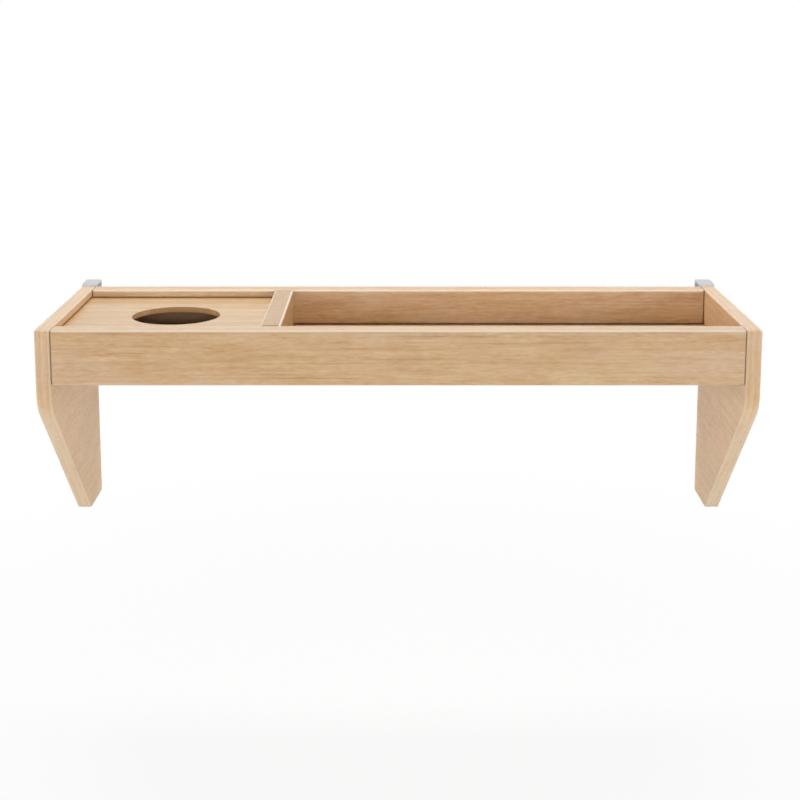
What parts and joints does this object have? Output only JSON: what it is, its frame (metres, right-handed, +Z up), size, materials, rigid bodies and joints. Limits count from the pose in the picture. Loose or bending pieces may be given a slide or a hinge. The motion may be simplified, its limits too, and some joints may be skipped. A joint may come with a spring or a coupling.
{
  "type": "hanging bed shelf",
  "caption": "Wooden shelf that hooks over a bed's side rail, with an open tray for books and a round hole that holds a cup.",
  "frame": {"origin": "middle of the hooks' seat: halfway between the hooks, in the middle of their throats and level with the underside of their top plates, where the top of the bed rail lies", "axes": "+X to the right seen from the front, +Y towards the bed, +Z up"},
  "size_m": [0.7, 0.253, 0.2375],
  "materials": {
    "panel_wood": "clear satin lacquer over pale hardwood",
    "rail_wood": "clear satin lacquer over pale hardwood, grain along the length",
    "board_wood": "clear satin lacquer over pale plywood",
    "hook_steel": "bare flat steel strip, dull",
    "screw_steel": "bright zinc",
    "dowel_wood": "raw"
  },
  "bodies": {
    "root": {"left_end_panel": "panel_wood", "right_end_panel": "panel_wood", "front_rail": "rail_wood", "back_rail": "rail_wood", "divider": "rail_wood", "cup_board": "board_wood", "floor_board": "board_wood", "left_hook": "hook_steel", "right_hook": "hook_steel", "left_hook_screws": "screw_steel", "right_hook_screws": "screw_steel", "left_rail_screws": "screw_steel", "right_rail_screws": "screw_steel", "left_rail_dowels": "dowel_wood", "right_rail_dowels": "dowel_wood", "front_divider_dowels": "dowel_wood", "back_divider_dowels": "dowel_wood"}
  },
  "joints": []
}
